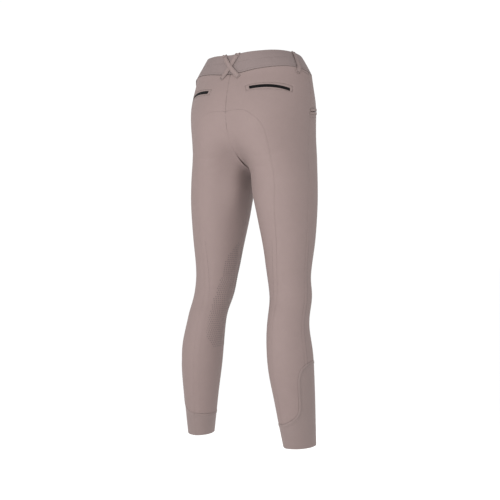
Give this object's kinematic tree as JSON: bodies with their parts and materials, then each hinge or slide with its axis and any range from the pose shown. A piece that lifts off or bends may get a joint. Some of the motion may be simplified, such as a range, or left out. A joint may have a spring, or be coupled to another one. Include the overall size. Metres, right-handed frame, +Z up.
{
  "type": "riding breeches",
  "caption": "Worn, hollow riding breeches in smooth stretch cloth with a shaped waistband, crossed belt loops, zipped back pockets and tongued ankle cuffs.",
  "frame": {"origin": "middle of the waist, on the centre plane, at half the height of the waistband, where the wearer holds the garment up", "axes": "+Z up, the front faces -Y, the wearer's left is +X"},
  "size_m": [0.3642, 0.2544, 0.9621],
  "materials": {
    "stretch_cloth": "smooth matt stretch jersey, dusty taupe",
    "band_cloth": "matt doubled stretch cloth with elastic, slightly greyer taupe",
    "cuff_cloth": "thin smooth elastic jersey, taupe",
    "zip_tape": "black coated zip tape, satin",
    "button": "satin"
  },
  "bodies": {
    "root": {"back_left": "stretch_cloth", "back_pocket_zip_left": "zip_tape", "back_pocket_zip_right": "zip_tape", "back_right": "stretch_cloth", "cuff_left": "cuff_cloth", "cuff_right": "cuff_cloth", "fly_placket": "stretch_cloth", "front_left": "stretch_cloth", "front_pocket_lip_lower_left": "stretch_cloth", "front_pocket_lip_lower_right": "stretch_cloth", "front_pocket_lip_upper_left": "stretch_cloth", "front_pocket_lip_upper_right": "stretch_cloth", "front_right": "stretch_cloth", "loop_cross_over": "band_cloth", "loop_cross_under": "band_cloth", "loop_front_left": "band_cloth", "loop_front_right": "band_cloth", "loop_side_left": "band_cloth", "loop_side_right": "band_cloth", "seat_left": "stretch_cloth", "seat_right": "stretch_cloth", "waist_button": "button", "waistband": "band_cloth"}
  },
  "joints": []
}
